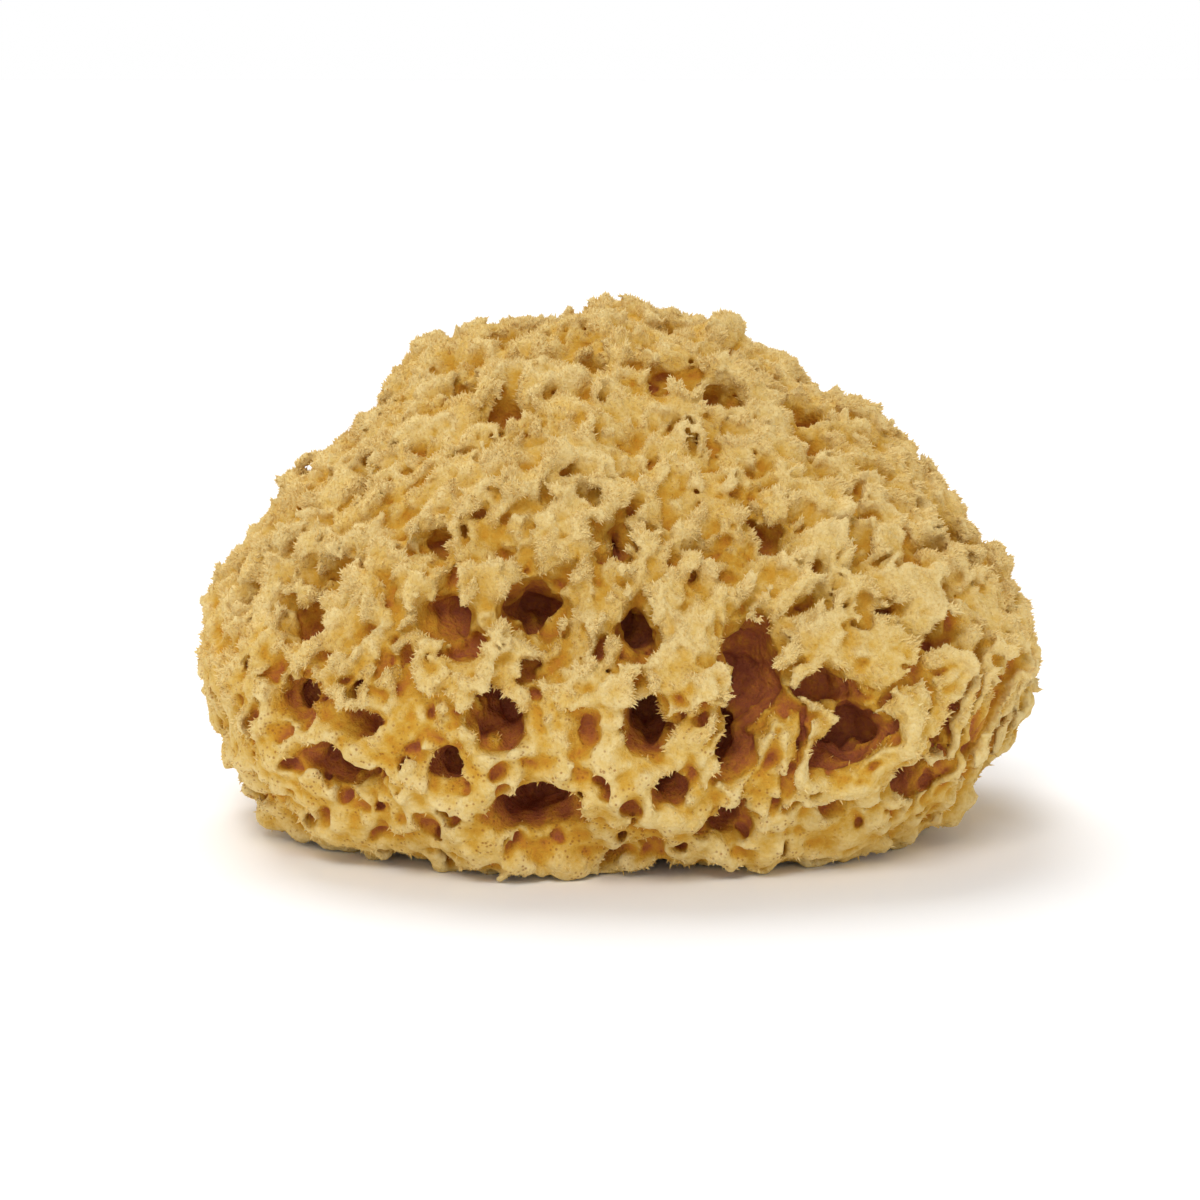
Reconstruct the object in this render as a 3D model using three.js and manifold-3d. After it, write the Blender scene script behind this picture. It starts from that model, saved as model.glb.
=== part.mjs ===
// A sea sponge: the dry, springy skeleton of a wool sponge, grown in one piece on
// the sea bed and cut off flat where it stood. A low dome, widest a third of the
// way up, its skin is heaped in soft knolls and opened all over by the canals
// that the living sponge drew water through. The solid reaches the tips of the
// tufts and fibres. Millimetres, +Z up, the origin under the middle of the cut.
import * as THREE from "three";
import { mergeVertices } from "three/addons/utils/BufferGeometryUtils.js";
import { ImprovedNoise } from "three/addons/math/ImprovedNoise.js";
import Module from "manifold-3d";

const wasm = await Module();
wasm.setup();

// ---- driving dimensions, mm ----
const WIDTH = 140; // left to right
const DEPTH = 114; // front to back
const HEIGHT = 86; // cut face to crown
const CROWN_SHIFT = -3; // the crown stands left of the middle
const SECTION_POWER = 2.2; // 2 is an oval level section, more is squarer
const CUT_DEPTH = 5; // how much of the rounded foot the cut takes off

// Half the outline of the uncut sponge, crown to foot: how far out, as a share of
// half the width, and how high, as a share of the height.
const OUTLINE = [
  [0.0, 1.0],
  [0.32, 0.95],
  [0.57, 0.82],
  [0.78, 0.66],
  [0.92, 0.5],
  [0.98, 0.38],
  [0.92, 0.22],
  [0.79, 0.09],
  [0.58, 0.0],
  [0.0, 0.0],
];

// ---- skin ----
const SKIN_DETAIL = 12; // cuts along each edge of the starting icosahedron
const KNOLLS = { across: 12, rise: 3.6 }; // soft heaps over the whole skin
const SWELLS = { across: 42, rise: 4.5 }; // slow bulges that break the symmetry

// ---- canals ----
const CANAL_SIDES = 8;
const CANAL_RISE = 4; // how far a canal's cutting tool stands out of the skin
// A canal from mouth to end: its girth, as a share of the mouth's, at each depth.
const CANAL_TAPER = [
  [1.3, 0.0],
  [0.9, 0.25],
  [0.6, 0.85],
];

// The front mouths as an eye EYE.away off sees them, looking EYE.down degrees
// downwards: how far right of and above the middle of the cut, their width and
// height, how deep they run and how far they are turned, in mm and degrees.
const EYE = { away: 540, down: 10 };
const FRONT_MOUTHS = [
  // middle band, left to right
  { x: -56, up: 37, across: 7.5, tall: 5.5, deep: 8, turned: 25 },
  { x: -50, up: 44, across: 4.5, tall: 4, deep: 8, turned: 30 },
  { x: -32, up: 39, across: 4.5, tall: 7.5, deep: 12, turned: 10 },
  { x: -26, up: 33, across: 4, tall: 4.5, deep: 10, turned: 0 },
  { x: -14, up: 39, across: 8, tall: 7.5, deep: 17, turned: -30 },
  { x: 4, up: 36, across: 3.5, tall: 9.5, deep: 16, turned: 5 },
  { x: 23, up: 34, across: 9, tall: 4.5, deep: 13, turned: 18 },
  { x: 38, up: 24, across: 9, tall: 5, deep: 13, turned: 5 },
  { x: 57, up: 34, across: 4.5, tall: 5, deep: 9, turned: -10 },
  // lower band
  { x: -56, up: 22, across: 5, tall: 4, deep: 11, turned: 0 },
  { x: -45, up: 19, across: 5, tall: 3.5, deep: 9, turned: 25 },
  { x: -21, up: 19, across: 7.5, tall: 7, deep: 13, turned: -35 },
  { x: 5, up: 18, across: 5.5, tall: 7.5, deep: 18, turned: 0 },
  { x: 24, up: 21, across: 11, tall: 7, deep: 18, turned: 32 },
  { x: 43, up: 17, across: 7, tall: 7, deep: 17, turned: 35 },
  { x: 20, up: 14, across: 6, tall: 7, deep: 18, turned: 0 },
  { x: -48, up: 10, across: 13, tall: 4.5, deep: 11, turned: -3 },
  { x: -30, up: 10, across: 4, tall: 4.5, deep: 13, turned: 0 },
  { x: 37, up: 12, across: 7.5, tall: 5, deep: 8, turned: 0 },
  { x: 9, up: 8, across: 4, tall: 5, deep: 10, turned: 0 },
  { x: 51, up: 8, across: 6, tall: 4.5, deep: 13, turned: 40 },
  // foot
  { x: -14, up: 3, across: 12, tall: 7, deep: 17, turned: -5 },
  { x: 20, up: 1, across: 4.5, tall: 5, deep: 12, turned: 0 },
  // shoulder and crown
  { x: 26, up: 51, across: 4, tall: 3.5, deep: 9, turned: 0 },
  { x: 0, up: 53, across: 3.5, tall: 5.5, deep: 9, turned: 10 },
  { x: -32, up: 52, across: 4, tall: 4.5, deep: 8, turned: 0 },
  { x: -20, up: 73, across: 5, tall: 4.5, deep: 8, turned: -20 },
  { x: -8, up: 81, across: 7.5, tall: 5.5, deep: 9, turned: -15 },
  { x: 19, up: 74, across: 5, tall: 4.5, deep: 8, turned: 0 },
  { x: 35, up: 66, across: 4, tall: 6, deep: 8, turned: 10 },
];

// The rest are spread by rule over the back, the ends, the top and the cut.
const SPREAD_MOUTHS = 60; // evenly round a whole ball, before the front is left out
const FRONT_EDGE = 0.42; // how far a mouth must face away from the front
const CUT_MOUTH_LIMIT = 20; // no mouth opens this near the middle of the cut, mm

const noise = new ImprovedNoise();
const GOLDEN_ANGLE = Math.PI * (3 - Math.sqrt(5));

/** A repeatable number from 0 to 1 for the nth thing of a kind. */
function chance(n, kind) {
  const s = Math.sin(n * 127.1 + kind * 311.7) * 43758.5453;
  return s - Math.floor(s);
}

/** Soft noise, about -1 to 1, that repeats no sooner than the sponge is wide. */
function softNoise(point, { across, rise }, kind) {
  const [x, y, z] = point.toArray().map((mm) => mm / across + kind * 17.3);
  return rise * noise.noise(x, y, z);
}

/** A closed mesh's geometry as a manifold-3d solid. */
function toSolid(geometry) {
  const bare = geometry.clone();
  for (const name of Object.keys(bare.attributes)) {
    if (name !== "position") bare.deleteAttribute(name);
  }
  const merged = mergeVertices(bare, 1e-4);
  return new wasm.Manifold(
    new wasm.Mesh({
      numProp: 3,
      vertProperties: merged.attributes.position.array,
      triVerts: new Uint32Array(merged.index.array),
    }),
  );
}

/** A manifold-3d solid as a geometry for a mesh. */
function toGeometry(solid) {
  const mesh = solid.getMesh();
  const geometry = new THREE.BufferGeometry();
  const places = new THREE.BufferAttribute(mesh.vertProperties, 3);
  geometry.setAttribute("position", places);
  geometry.setIndex(new THREE.BufferAttribute(mesh.triVerts, 1));
  geometry.computeVertexNormals();
  return geometry;
}

/** The sponge's skin: a ball whose points are moved out to the dome's outline. */
function skinGeometry() {
  const outline = new THREE.SplineCurve(
    OUTLINE.map(([out, up]) => new THREE.Vector2(out, up)),
  );
  const geometry = new THREE.IcosahedronGeometry(1, SKIN_DETAIL);
  const places = geometry.getAttribute("position");
  const point = new THREE.Vector3();
  for (let i = 0; i < places.count; i++) {
    point.fromBufferAttribute(places, i).normalize();
    const outwards = point.clone();
    const along = Math.acos(THREE.MathUtils.clamp(point.z, -1, 1)) / Math.PI;
    const round = Math.atan2(point.y, point.x);
    const { x: out, y: up } = outline.getPointAt(along);
    const squareness =
      Math.abs(Math.cos(round)) ** SECTION_POWER +
      Math.abs(Math.sin(round)) ** SECTION_POWER;
    const reach = out / squareness ** (1 / SECTION_POWER);
    point.set(
      (reach * Math.cos(round) * WIDTH) / 2 + CROWN_SHIFT * up,
      (reach * Math.sin(round) * DEPTH) / 2,
      up * HEIGHT - CUT_DEPTH,
    );
    const heave = softNoise(point, KNOLLS, 1) + softNoise(point, SWELLS, 2);
    point.addScaledVector(outwards, heave);
    places.setXYZ(i, point.x, point.y, point.z);
  }
  return geometry;
}

/** The skin as a solid, with the foot cut off flat at the origin's height. */
function skinSolid() {
  const slab = new THREE.BoxGeometry(2 * WIDTH, 2 * DEPTH, HEIGHT);
  slab.translate(0, 0, -HEIGHT / 2);
  return toSolid(skinGeometry()).subtract(toSolid(slab));
}

/** Where a straight line from outside first meets the skin, and which way out is. */
function mouthPlace(skin, from, towards) {
  const ray = new THREE.Raycaster(from, towards.clone().normalize());
  const [hit] = ray.intersectObject(skin);
  return { at: hit.point, inwards: hit.face.normal.clone().negate() };
}

/** The tool that cuts one canal, its mouth at `at`, running inwards. */
function canalTool({ at, inwards, across, tall, deep, turned }) {
  const profile = [
    new THREE.Vector2(0, -CANAL_RISE),
    new THREE.Vector2(CANAL_TAPER[0][0], -CANAL_RISE),
    ...CANAL_TAPER.map(([girth, share]) => new THREE.Vector2(girth, share * deep)),
    new THREE.Vector2(0, deep),
  ];
  const tool = new THREE.LatheGeometry(profile, CANAL_SIDES);
  tool.rotateX(-Math.PI / 2); // the lathe's +Y, down the canal, becomes -Z
  tool.scale(across / 2, tall / 2, 1);
  tool.rotateZ(THREE.MathUtils.degToRad(turned));
  const stand = new THREE.Matrix4();
  const upright = new THREE.Vector3(0, Math.abs(inwards.z) > 0.9 ? 1 : 0, 1);
  stand.lookAt(new THREE.Vector3(), inwards, upright);
  tool.applyMatrix4(stand);
  tool.translate(at.x, at.y, at.z);
  return tool;
}

/** The canals that open forwards, each found by a look from the eye. */
function frontCanals(skin) {
  const down = THREE.MathUtils.degToRad(EYE.down);
  const eye = new THREE.Vector3(0, -EYE.away * Math.cos(down), EYE.away * Math.sin(down));
  const upwards = new THREE.Vector3(0, Math.sin(down), Math.cos(down));
  return FRONT_MOUTHS.map((mouth) => {
    const seen = new THREE.Vector3(mouth.x, 0, 0).addScaledVector(upwards, mouth.up);
    const { at, inwards } = mouthPlace(skin, eye, seen.sub(eye));
    const homewards = new THREE.Vector3(0, 0, HEIGHT / 3).sub(at).normalize();
    return canalTool({ ...mouth, at, inwards: inwards.add(homewards).normalize() });
  });
}

/** The canals everywhere else, spaced round a ball by the golden angle. */
function spreadCanals(skin) {
  const centre = new THREE.Vector3(0, 0, HEIGHT / 3);
  const tools = [];
  for (let n = 0; n < SPREAD_MOUTHS; n++) {
    const z = 1 - (2 * n + 1) / SPREAD_MOUTHS;
    const round = n * GOLDEN_ANGLE + chance(n, 1) * 0.5;
    const flat = Math.sqrt(1 - z * z);
    const outwards = new THREE.Vector3(flat * Math.cos(round), flat * Math.sin(round), z);
    const from = centre.clone().addScaledVector(outwards, 2 * WIDTH);
    const { at, inwards } = mouthPlace(skin, from, outwards.clone().negate());
    const forwards = -outwards.y > FRONT_EDGE && z > -0.75;
    const underMiddle = z < 0 && Math.hypot(at.x, at.y) < CUT_MOUTH_LIMIT;
    if (forwards || underMiddle) continue;
    const size = 4.5 + 4.5 * chance(n, 2);
    tools.push(
      canalTool({
        at,
        inwards,
        across: size,
        tall: size * (0.65 + 0.5 * chance(n, 3)),
        deep: 8 + 8 * chance(n, 4),
        turned: 180 * chance(n, 5),
      }),
    );
  }
  return tools;
}

/** A geometry moved and scaled to stand in its driving dimensions, on z = 0. */
function fitted(geometry) {
  geometry.computeBoundingBox();
  const box = geometry.boundingBox;
  const size = box.getSize(new THREE.Vector3());
  geometry.translate(-(box.min.x + box.max.x) / 2, -(box.min.y + box.max.y) / 2, -box.min.z);
  return geometry.scale(WIDTH / size.x, DEPTH / size.y, HEIGHT / size.z);
}

const skinMesh = new THREE.Mesh(fitted(toGeometry(skinSolid())));
const canals = [...frontCanals(skinMesh), ...spreadCanals(skinMesh)];
const skin = toSolid(skinMesh.geometry);
const body = canals.reduce((solid, tool) => solid.subtract(toSolid(tool)), skin);

const sponge = new THREE.Mesh(
  toGeometry(body),
  new THREE.MeshStandardMaterial({ color: 0xcda863, roughness: 0.95, metalness: 0 }),
);
sponge.name = "sponge";

const group = new THREE.Group();
group.add(sponge);
export default group;
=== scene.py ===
"""A dry wool sponge standing on a pale studio floor.

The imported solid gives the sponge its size, its skin and its main canals. The
body is that solid with the finer growth cut into it: hollows that leave plates
and tufts standing between them, small pores, and torn sheets on one flank. It
is cut on a block of cells, each holding its distance to the surface, and then
meshed. Coats of short fibres, set out by Geometry Nodes, fray the rims and give
the felt its nap. Work on the block is in millimetres, and meshes are in metres.
"""

from __future__ import annotations

import logging
import math
from dataclasses import dataclass, field
from enum import Enum
from typing import Any, Sequence

import bpy
import numpy as np
import openvdb
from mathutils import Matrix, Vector


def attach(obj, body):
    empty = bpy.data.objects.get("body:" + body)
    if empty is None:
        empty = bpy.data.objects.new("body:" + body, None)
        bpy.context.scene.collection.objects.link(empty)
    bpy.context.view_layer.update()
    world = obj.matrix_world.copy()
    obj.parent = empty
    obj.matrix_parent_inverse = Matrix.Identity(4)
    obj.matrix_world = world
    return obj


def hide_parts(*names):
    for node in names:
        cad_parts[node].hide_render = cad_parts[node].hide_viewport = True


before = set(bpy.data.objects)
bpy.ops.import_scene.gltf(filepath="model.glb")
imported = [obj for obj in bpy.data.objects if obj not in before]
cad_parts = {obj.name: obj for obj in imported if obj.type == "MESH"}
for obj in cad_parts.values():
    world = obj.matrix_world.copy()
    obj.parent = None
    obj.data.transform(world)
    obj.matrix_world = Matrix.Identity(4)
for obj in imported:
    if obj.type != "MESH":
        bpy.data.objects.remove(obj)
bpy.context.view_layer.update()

log = logging.getLogger("sponge")

NODE = "sponge"
BODY = "root"
MM = 0.001
COLOUR_MAP = "OFBake"
STORED = {"FLOAT": ("value", 1), "FLOAT_VECTOR": ("vector", 3)}

Array = np.ndarray
Shape = tuple[int, int, int]
Colour = tuple[float, float, float]
Stops = Sequence[tuple[float, Colour]]


def from_screen(red: int, green: int, blue: int) -> Colour:
    """Turns a screen colour into the linear one that shaders use.

    Args:
        red: Red, 0 to 255.
        green: Green, 0 to 255.
        blue: Blue, 0 to 255.

    Returns:
        The linear colour.
    """
    shares = (c / 255 for c in (red, green, blue))
    return tuple(c / 12.92 if c <= 0.04045 else ((c + 0.055) / 1.055) ** 2.4 for c in shares)


def eased(value: Array, start: float, end: float) -> Array:
    """Turns smoothly from 0 at `start` to 1 at `end`."""
    share = np.clip((value - start) / (end - start), 0, 1)
    return share * share * (3 - 2 * share)


def unit(vectors: Array) -> Array:
    """Scales each vector to length 1."""
    return vectors / np.maximum(np.linalg.norm(vectors, axis=-1, keepdims=True), 1e-9)


# ---- the block of cells ----


@dataclass
class Block:
    """A block of cells that holds values round the sponge.

    Args:
        low: Centre of the first cell, mm.
        cell: Size of a cell, mm.
        shape: Cells along each axis.
    """

    low: Array
    cell: float
    shape: Shape

    @classmethod
    def around(cls, low: Array, high: Array, margin: float, cell: float) -> Block:
        """Lays a block round a box, its cells on whole multiples of their size.

        Args:
            low: The box's lowest corner, mm.
            high: The box's highest corner, mm.
            margin: Room left on every side, mm.
            cell: Size of a cell, mm.

        Returns:
            The block.
        """
        first = np.floor((low - margin) / cell)
        last = np.ceil((high + margin) / cell)
        return cls(first * cell, cell, tuple(int(n) for n in last - first + 1))

    def coordinates(self) -> list[Array]:
        """Gives the x, y and z of the cells, each shaped to spread over the block."""
        return [
            (self.low[axis] + self.cell * np.arange(count, dtype=np.float32)).reshape(
                [-1 if axis == other else 1 for other in range(3)]
            )
            for axis, count in enumerate(self.shape)
        ]

    def read(self, values: Array, x: Array, y: Array, z: Array) -> Array:
        """Reads values at any points, evenly between the nearest cells.

        Args:
            values: One value a cell.
            x: The points' x, mm.
            y: The points' y, mm.
            z: The points' z, mm.

        Returns:
            One value a point.
        """
        corners, shares = [], []
        for axis, at in enumerate((x, y, z)):
            steps = (at - self.low[axis]) / self.cell
            steps = np.clip(steps, 0, self.shape[axis] - 1.001)
            whole = steps.astype(np.int32)
            corners.append(whole)
            shares.append((steps - whole).astype(np.float32))
        (i, j, k), (u, v, w) = corners, shares

        def edge(di: int, dj: int) -> Array:
            """Reads along one of the four edges that run up."""
            low, high = values[i + di, j + dj, k], values[i + di, j + dj, k + 1]
            return low + (high - low) * w

        near = edge(0, 0) + (edge(0, 1) - edge(0, 0)) * v
        far = edge(1, 0) + (edge(1, 1) - edge(1, 0)) * v
        return near + (far - near) * u

    def slopes(self, values: Array) -> list[Array]:
        """Gives how fast values rise along x, y and z, per mm."""
        return [np.gradient(values, self.cell, axis=axis) for axis in range(3)]

    def waves(self, across: float, chance: np.random.Generator) -> Array:
        """Makes smooth random waves through the block.

        Args:
            across: Length of a wave, mm.
            chance: Where the random numbers come from.

        Returns:
            One value a cell, mostly within -1 to 1.
        """
        spacing = across / 2
        counts = [int(count * self.cell / spacing) + 4 for count in self.shape]
        values = chance.uniform(-2.2, 2.2, counts).astype(np.float32)
        for axis, count in enumerate(self.shape):
            at = np.arange(count) * self.cell / spacing + 0.5
            first = np.floor(at).astype(int)
            t = (at - first).astype(np.float32)
            shares = (0.5 * (1 - t) ** 2, 0.5 + t * (1 - t), 0.5 * t**2)
            spread = [-1 if axis == other else 1 for other in range(3)]
            values = sum(
                np.take(values, first + step, axis) * share.reshape(spread)
                for step, share in enumerate(shares)
            )
        return values

    def blurred(self, values: Array, reach: float, rounds: int = 3) -> Array:
        """Evens values out over the cells round about.

        Args:
            values: One value a cell.
            reach: Half the width that one round evens over, mm.
            rounds: How often it is done.

        Returns:
            The evened values.
        """
        half = max(1, round(reach / self.cell))
        for _ in range(rounds):
            for axis in range(3):
                pad = [(half + 1, half) if axis == other else (0, 0) for other in range(3)]
                sums = np.cumsum(np.pad(values, pad, mode="edge"), axis, dtype=np.float32)
                count = values.shape[axis]
                ahead = np.take(sums, np.arange(count) + 2 * half + 1, axis)
                behind = np.take(sums, np.arange(count), axis)
                values = (ahead - behind) / (2 * half + 1)
        return values


def signed_distance(
    block: Block, points: Array, triangles: Array, inside: float, outside: float
) -> Array:
    """Measures how far each cell lies from a closed surface.

    Args:
        block: The block to fill.
        points: The surface's vertices, mm.
        triangles: Its triangles.
        inside: How deep inside it to measure, mm.
        outside: How far outside it to measure, mm.

    Returns:
        The distance of each cell, below 0 inside, mm.
    """
    grid = openvdb.FloatGrid.createLevelSetFromPolygons(
        points.astype(np.float32),
        triangles=triangles.astype(np.uint32),
        transform=openvdb.createLinearTransform(voxelSize=block.cell),
        exBandWidth=outside / block.cell,
        inBandWidth=inside / block.cell,
    )
    distance = np.empty(block.shape, np.float32)
    first = tuple(int(n) for n in np.round(block.low / block.cell))
    grid.copyToArray(distance, ijk=first)
    return distance


def surface_at(block: Block, values: Array, level: float) -> tuple[Array, Array]:
    """Meshes the surface on which values have a level.

    Args:
        block: The block that holds them.
        values: One value a cell.
        level: The level.

    Returns:
        The surface's vertices in mm, and its triangles, facing where values rise.
    """
    width = 3 * block.cell
    grid = openvdb.FloatGrid(float(width))
    grid.transform = openvdb.createLinearTransform(voxelSize=block.cell)
    first = tuple(int(n) for n in np.round(block.low / block.cell))
    near = np.clip(values - level, -width, width)
    grid.copyFromArray(near.astype(np.float32), ijk=first)
    points, triangles, quads = grid.convertToPolygons(isovalue=0.0, adaptivity=0.0)
    halves = np.concatenate([quads[:, [0, 1, 2]], quads[:, [0, 2, 3]]])
    faces = np.concatenate([triangles.astype(np.int64), halves.astype(np.int64)])
    corners = points[faces[0]] if len(faces) else np.zeros((3, 3))
    across = np.cross(corners[1] - corners[0], corners[2] - corners[0])
    ahead = corners.mean(0) + unit(across) * 0.5 * block.cell
    back = corners.mean(0) - unit(across) * 0.5 * block.cell
    rise = block.read(values, *ahead) - block.read(values, *back)
    return points, faces if rise > 0 else faces[:, ::-1]


def joined_up(faces: Array, count: int) -> Array:
    """Finds which vertices hang together.

    Args:
        faces: Triangles.
        count: How many vertices there are.

    Returns:
        For each vertex, the lowest number among the vertices it is joined to.
    """
    label = np.arange(count)
    while True:
        lowest = label[faces].min(1)
        tried = label.copy()
        for corner in range(3):
            np.minimum.at(tried, faces[:, corner], lowest)
        tried = tried[tried]
        tried = tried[tried]
        if (tried == label).all():
            return label
        label = tried


# ---- how the sponge has grown ----


class Growth(Enum):
    """The kinds of growth that the skin shows."""

    TUFTED = "close knobs and tufts of felt, on the upper dome"
    PLATED = "smooth plates between wide hollows, round the foot"
    TORN = "long sheets torn up and outwards, on the right flank"


@dataclass(frozen=True)
class Hollows:
    """The sizes of one set of hollows in one kind of growth.

    Args:
        apart: Least distance from one to the next, mm.
        radius: Smallest and largest radius at the mouth, mm.
        deep: Smallest and largest depth, mm.
        stretch: Least and most that a mouth is drawn out along the grain.
        tilt: How far the hollows run back under the grain, degrees.
    """

    apart: float
    radius: tuple[float, float]
    deep: tuple[float, float]
    stretch: tuple[float, float]
    tilt: float


BAYS = {
    Growth.TUFTED: Hollows(11.5, (3.4, 5.2), (0.4, 2.4), (1.0, 1.8), 25),
    Growth.PLATED: Hollows(12.5, (3.4, 5.2), (0.2, 2.4), (1.0, 1.7), 20),
    Growth.TORN: Hollows(11.5, (2.6, 4.0), (1.0, 3.0), (1.6, 2.6), 45),
}
BOWLS = {
    Growth.TUFTED: Hollows(6.6, (1.7, 3.0), (1.8, 4.4), (1.0, 1.9), 25),
    Growth.PLATED: Hollows(9.0, (2.0, 3.6), (1.0, 4.5), (1.0, 1.6), 20),
    Growth.TORN: Hollows(8.2, (2.1, 3.2), (2.5, 6.0), (1.8, 2.8), 50),
}
HOLLOWS = {
    Growth.TUFTED: Hollows(4.8, (0.6, 1.3), (1.0, 3.0), (1.0, 2.2), 25),
    Growth.PLATED: Hollows(8.5, (1.0, 2.0), (2.0, 5.0), (1.0, 1.7), 20),
    Growth.TORN: Hollows(5.2, (0.8, 1.5), (2.5, 6.5), (2.0, 3.4), 55),
}


@dataclass(frozen=True)
class Furrows:
    """How far the skin sinks in the troughs of one set of waves.

    Args:
        across: Length of the waves, mm.
        plated: How far it sinks between plates, mm.
        tufted: How much farther it sinks between tufts, mm.
        troughs: Heights of the waves between which it sinks.
    """

    across: float
    plated: float
    tufted: float
    troughs: tuple[float, float] = (0.0, 1.0)


CLUMPS = Furrows(5.6, 0.7, 1.0, (-0.1, 0.7))
KNOBS = Furrows(2.6, 0.12, 0.68, (-0.2, 0.6))
BURRS = Furrows(1.5, 0.2, 0.2)


@dataclass(frozen=True)
class Sheets:
    """The sheets that run along the grain, torn on the flank and flamed above it.

    Args:
        across: Length of the waves between them, mm.
        grain: The way they run, of length 1.
        length: How much longer than thick they are.
        torn: How far the skin sinks between torn sheets, mm.
        flamed: How far it sinks between the flames of felt, mm.
        troughs: Heights of the waves between which it sinks.
    """

    across: float = 3.8
    grain: tuple[float, float, float] = (0.5, -0.1, 0.86)
    length: float = 4.2
    torn: float = 3.3
    flamed: float = 1.5
    troughs: tuple[float, float] = (0.0, 0.5)


# Where each change in the growth begins and where it is complete, mm
TORN_FROM_LEFT = (2, 32)
TORN_FROM_FOOT = (8, 20)
TORN_TO_TOP = (58, 76)
FLAMED_FROM_FOOT = (26, 38)
FLAMED_TO_TOP = (54, 66)
TUFTED_FROM_FOOT = (22, 44)
ROUGH_FROM_FOOT = (12, 34)
FRAYED_FROM_FOOT = (16, 36)
# PALE_FROM_FOOT: where the painted shade turns from the darker foot to the paler dome
PALE_FROM_FOOT = (18, 46)
FRAY_OFF_FLOOR = (0.4, 1.6)
NAP_OFF_FLOOR = (0.3, 1.2)
PLATED_TO_RIGHT = (24, 40)

# The same for depths under the whole skin, mm
SKIN_UNDER = 2.5
WIDENED_UNDER = (0.0, 5.0)
SMOOTHED_UNDER = (2.5, 7.0)
INNER_SMOOTHNESS = 0.85
FRAYED_UNDER = (7.0, 3.5)
NAP_UNDER = (4, 2)

# The same for the share of felt close round a free edge, and round fluffy felt
FREE_EDGE = (0.47, 0.36)
FLUFFED = (0.6, 0.45)

# Where each kind of hollow is cut, mm: tufted above a height, torn on a flank and behind
BORDER_STRAY = 5
TUFTED_ABOVE = 38
FLANK_LEFT, FLANK_FOOT, FLANK_TOP = 24, 14, 62
BACK_FRONT, BACK_RIGHT, BACK_FOOT, BACK_TOP = 22, -20, 18, 55


# How hollows are cut: spots tried, share of the tilt each has, how far its aim strays,
# how far out its mouth stands in radii, how much it narrows, and room round it, mm
SPOTS_TRIED = 60_000
TILT_SHARE = (0.5, 1.3)
AIM_STRAY = 0.15
MOUTH_LIFT = 0.6
TAPER = 0.45
CUT_MARGIN = 2.85

# Room round the sponge in each block, and how far in and out of each skin is measured, mm
FINE_MARGIN, COARSE_MARGIN = 3, 4
PACKED_BAND, SKIN_BAND = (12, 10), (40, 3)


@dataclass(frozen=True)
class Shading:
    """Painted shade: darker at the foot, when deep and when closed in, where less
    light falls; deep in, it is partly the felt's own darker colour.

    Args:
        foot: Darkness of open skin at the foot.
        dome: How much less it is on the dome.
        foot_depth: Depth over which canals darken at the foot, mm.
        dome_depth: How much longer that is on the dome, mm.
        foot_closed: How much a closed place darkens at the foot.
        dome_closed: How much less that is on the dome.
        wander: How much the slow wandering of the tone darkens.
        contrast: How sharply pale turns to dark.
    """

    foot: float = 0.25
    dome: float = 0.18
    foot_depth: float = 6.5
    dome_depth: float = 3.5
    foot_closed: float = 1.5
    dome_closed: float = 0.5
    wander: float = 0.06
    contrast: float = 5.0

    def of(self, under: Array, filled: Array, dome: Array, tone: Array) -> Array:
        """Works out the painted shade.

        Args:
            under: Depth under the skin, mm.
            filled: Share of felt close round the place.
            dome: 0 at the foot and 1 on the dome.
            tone: The slow wandering of the tone.

        Returns:
            The shade, 0 to 1.
        """
        depth = self.foot_depth + self.dome_depth * dome
        # Painted shade deeper in the canals, partly the felt's own darker colour there
        sunk = 1 - np.exp(-np.maximum(under, 0) / depth)
        # Painted shade where felt closes round a place
        closed = (self.foot_closed - self.dome_closed * dome) * (filled - 0.5)
        # Painted shade darker at the foot and paler on the dome; the tone wanders at random
        shade = self.foot - self.dome * dome + sunk + closed + self.wander * tone
        return 1 / (1 + np.exp(-self.contrast * (shade - 0.5)))


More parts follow.
